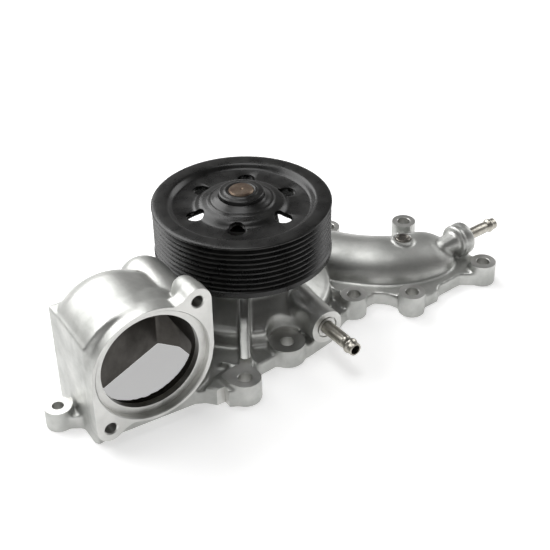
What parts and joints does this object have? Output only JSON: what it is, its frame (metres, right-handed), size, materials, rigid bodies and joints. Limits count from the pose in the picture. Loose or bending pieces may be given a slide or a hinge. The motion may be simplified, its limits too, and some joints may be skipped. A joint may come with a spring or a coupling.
{
  "type": "engine water pump",
  "caption": "Die-cast engine coolant pump: round side inlet, grooved belt pulley over a volute, arched outlet duct, hose nipples and a ring of bolt bosses.",
  "frame": {"origin": "middle of the bounding box's underside, on the mounting face's plane", "axes": "+X from the inlet towards the outlet duct, -Y the way the inlet opens, +Z along the shaft towards the pulley"},
  "size_m": [0.345, 0.177, 0.0912],
  "materials": {
    "die_cast_aluminium": "as cast, satin",
    "black_painted_steel": "semi-gloss black coat",
    "ground_bearing_steel": "ground",
    "zinc_plated_steel": "zinc plated",
    "nitrile_rubber": "moulded",
    "natural_nylon": "moulded",
    "seal_carbon": "lapped carbon",
    "alumina_ceramic": "lapped ceramic",
    "glass_filled_resin": "moulded",
    "turned_brass": "turned"
  },
  "bodies": {
    "casing": {"pump_housing": "die_cast_aluminium", "bearing_outer_race": "ground_bearing_steel", "bearing_seal_lower": "nitrile_rubber", "bearing_seal_upper": "nitrile_rubber", "seal_bellows": "nitrile_rubber", "seal_cup": "zinc_plated_steel", "seal_spring": "zinc_plated_steel", "front_hose_nipple": "zinc_plated_steel", "side_hose_nipple": "zinc_plated_steel", "duct_plug": "zinc_plated_steel", "seal_carbon_ring": "seal_carbon"},
    "rotor": {"pulley": "black_painted_steel", "pulley_hub": "black_painted_steel", "bearing_shaft": "ground_bearing_steel", "impeller": "glass_filled_resin", "impeller_bush": "turned_brass", "seal_ceramic_ring": "alumina_ceramic", "seal_seat_rubber": "nitrile_rubber"},
    "ball_row": {"ball_cage": "natural_nylon", "bearing_ball_1": "ground_bearing_steel", "bearing_ball_2": "ground_bearing_steel", "bearing_ball_3": "ground_bearing_steel", "bearing_ball_4": "ground_bearing_steel", "bearing_ball_5": "ground_bearing_steel", "bearing_ball_6": "ground_bearing_steel", "bearing_ball_7": "ground_bearing_steel", "bearing_ball_8": "ground_bearing_steel"},
    "roller_row": {"roller_cage": "natural_nylon", "bearing_roller_1": "ground_bearing_steel", "bearing_roller_2": "ground_bearing_steel", "bearing_roller_3": "ground_bearing_steel", "bearing_roller_4": "ground_bearing_steel", "bearing_roller_5": "ground_bearing_steel", "bearing_roller_6": "ground_bearing_steel", "bearing_roller_7": "ground_bearing_steel", "bearing_roller_8": "ground_bearing_steel"}
  },
  "joints": [
    {"name": "rotor_spin", "type": "hinge", "parent": "casing", "child": "rotor", "pos_m": [-0.01245, 0.01169, 0.047], "axis": [0, 0, 1], "continuous": true},
    {"name": "ball_row_orbit", "type": "hinge", "parent": "casing", "child": "ball_row", "pos_m": [-0.01245, 0.01169, 0.047], "axis": [0, 0, 1], "continuous": true},
    {"name": "roller_row_orbit", "type": "hinge", "parent": "casing", "child": "roller_row", "pos_m": [-0.01245, 0.01169, 0.047], "axis": [0, 0, 1], "continuous": true}
  ],
  "couplings": [
    {"joint": "ball_row_orbit", "follows": "rotor_spin", "ratio": 0.36},
    {"joint": "roller_row_orbit", "follows": "rotor_spin", "ratio": 0.38}
  ]
}
